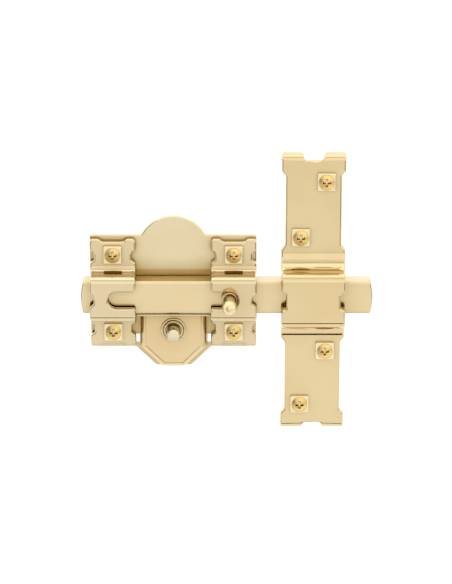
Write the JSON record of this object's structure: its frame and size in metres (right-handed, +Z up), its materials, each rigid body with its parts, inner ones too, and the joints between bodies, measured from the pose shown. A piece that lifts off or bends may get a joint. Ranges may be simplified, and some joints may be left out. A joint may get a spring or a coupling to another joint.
{
  "type": "sliding door bolt",
  "caption": "Surface-mounted sliding door bolt with a ball knob, a push-to-lock button under a pressed cover, two guide straps and a screwed top-hat strike",
  "frame": {"origin": "on the door face, behind the middle of the bolt's guide", "axes": "+X is the way the bolt is thrown, +Y goes into the door, +Z is up with the dome at the top"},
  "size_m": [0.1398, 0.0496, 0.1404],
  "materials": {
    "plated_plate": "satin pale brass plating on pressed steel",
    "plated_strap": "satin pale brass plating on bent steel sheet",
    "plated_bolt": "polished pale brass plating on steel bar",
    "plated_screw": "yellow brass plating on wood screws",
    "bright_steel": "bright zinc plated steel",
    "spring_steel": "oiled spring steel"
  },
  "bodies": {
    "root": {"base_plate": "plated_plate", "left_strap": "plated_strap", "right_strap": "plated_strap", "mechanism_cover": "plated_plate", "back_cover": "bright_steel", "left_pillar": "bright_steel", "right_pillar": "bright_steel", "back_cover_screws": "bright_steel", "left_bolt_spring": "spring_steel", "right_bolt_spring": "spring_steel", "button_bush": "plated_plate", "left_return_spring": "spring_steel", "right_return_spring": "spring_steel", "left_detent_spring": "spring_steel", "right_detent_spring": "spring_steel", "strike_plate": "plated_strap", "lock_screws": "plated_screw", "strike_screws": "plated_screw"},
    "bolt": {"bolt": "plated_bolt", "bolt_knob": "plated_bolt"},
    "button": {"button_plunger": "plated_bolt", "cross_pin": "bright_steel"},
    "catch": {"locking_catch": "bright_steel"}
  },
  "joints": [
    {"name": "bolt_slide", "type": "slide", "parent": "root", "child": "bolt", "axis": [-1, 0, 0], "range_m": [0, 0.054]},
    {"name": "button_press", "type": "slide", "parent": "root", "child": "button", "axis": [0, 1, 0], "range_m": [0, 0.003]},
    {"name": "catch_lift", "type": "slide", "parent": "root", "child": "catch", "axis": [0, 0, 1], "range_m": [0, 0.003], "deforming": ["left_return_spring", "right_return_spring", "left_detent_spring", "right_detent_spring"]}
  ],
  "couplings": [
    {"joint": "catch_lift", "follows": "button_press", "ratio": 1}
  ]
}
